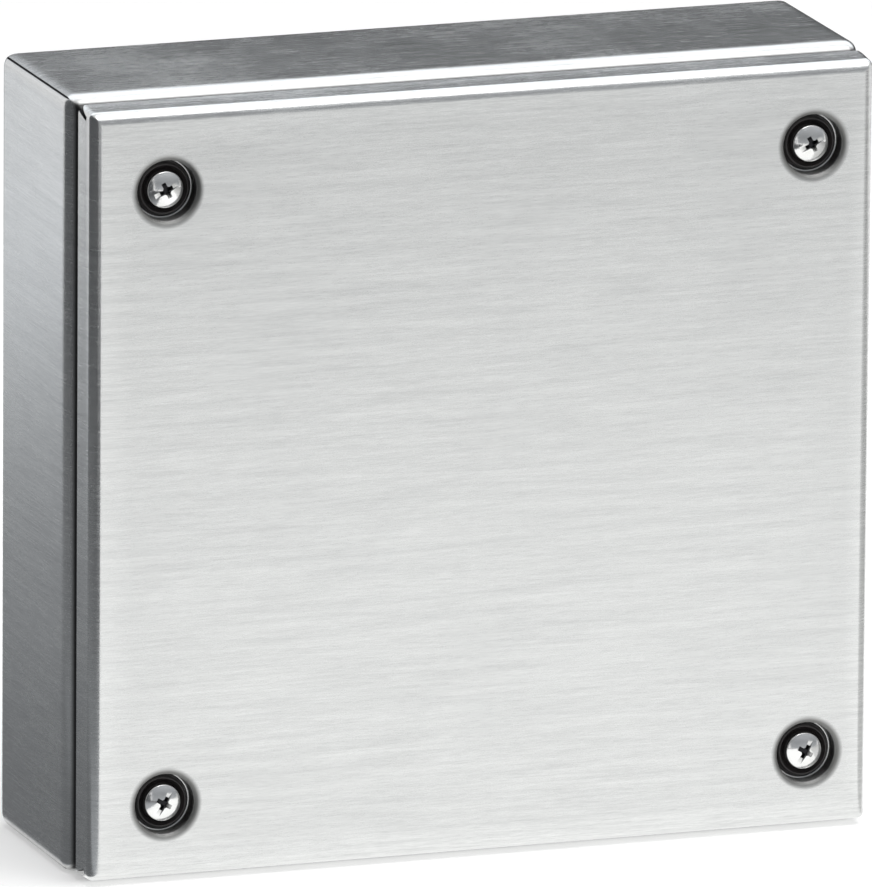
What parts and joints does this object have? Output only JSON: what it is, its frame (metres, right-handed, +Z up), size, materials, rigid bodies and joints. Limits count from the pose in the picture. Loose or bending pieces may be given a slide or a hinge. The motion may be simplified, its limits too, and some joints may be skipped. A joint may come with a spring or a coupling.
{
  "type": "electrical mounting box",
  "caption": "Square stainless steel terminal box for wall mounting, folded and welded, with a screwed cover over a foamed seal and captive screws in pressed recesses.",
  "frame": {"origin": "centre of the back face, in the plane of the wall", "axes": "+X to the right as seen from the front, +Y into the wall (the cover faces -Y), +Z up"},
  "size_m": [0.2, 0.0657, 0.1906],
  "materials": {
    "brushed_stainless": "satin",
    "zinc_plated_steel": "satin",
    "black_plastic": "semi_gloss",
    "seal_foam": "matte",
    "brass": "satin"
  },
  "bodies": {
    "root": {"box_body": "brushed_stainless", "cover": "brushed_stainless", "cover_gasket": "seal_foam", "cover_screw_top_left": "zinc_plated_steel", "cover_screw_top_right": "zinc_plated_steel", "cover_screw_bottom_left": "zinc_plated_steel", "cover_screw_bottom_right": "zinc_plated_steel", "seal_washer_top_left": "black_plastic", "seal_washer_top_right": "black_plastic", "seal_washer_bottom_left": "black_plastic", "seal_washer_bottom_right": "black_plastic", "screw_retainer_top_left": "black_plastic", "screw_retainer_top_right": "black_plastic", "screw_retainer_bottom_left": "black_plastic", "screw_retainer_bottom_right": "black_plastic", "corner_bracket_top_left": "brushed_stainless", "corner_bracket_top_right": "brushed_stainless", "corner_bracket_bottom_left": "brushed_stainless", "corner_bracket_bottom_right": "brushed_stainless", "threaded_bush_top_left": "zinc_plated_steel", "threaded_bush_top_right": "zinc_plated_steel", "threaded_bush_bottom_left": "zinc_plated_steel", "threaded_bush_bottom_right": "zinc_plated_steel", "rail_boss_top_left": "zinc_plated_steel", "rail_boss_top_right": "zinc_plated_steel", "rail_boss_bottom_left": "zinc_plated_steel", "rail_boss_bottom_right": "zinc_plated_steel", "wall_hole_stopper_top_left": "black_plastic", "wall_hole_stopper_top_right": "black_plastic", "wall_hole_stopper_bottom_left": "black_plastic", "wall_hole_stopper_bottom_right": "black_plastic", "body_earth_stud": "brass", "body_earth_washer": "brass", "body_earth_nut": "brass", "cover_earth_stud": "brass", "cover_earth_washer": "brass", "cover_earth_nut": "brass"}
  },
  "joints": []
}
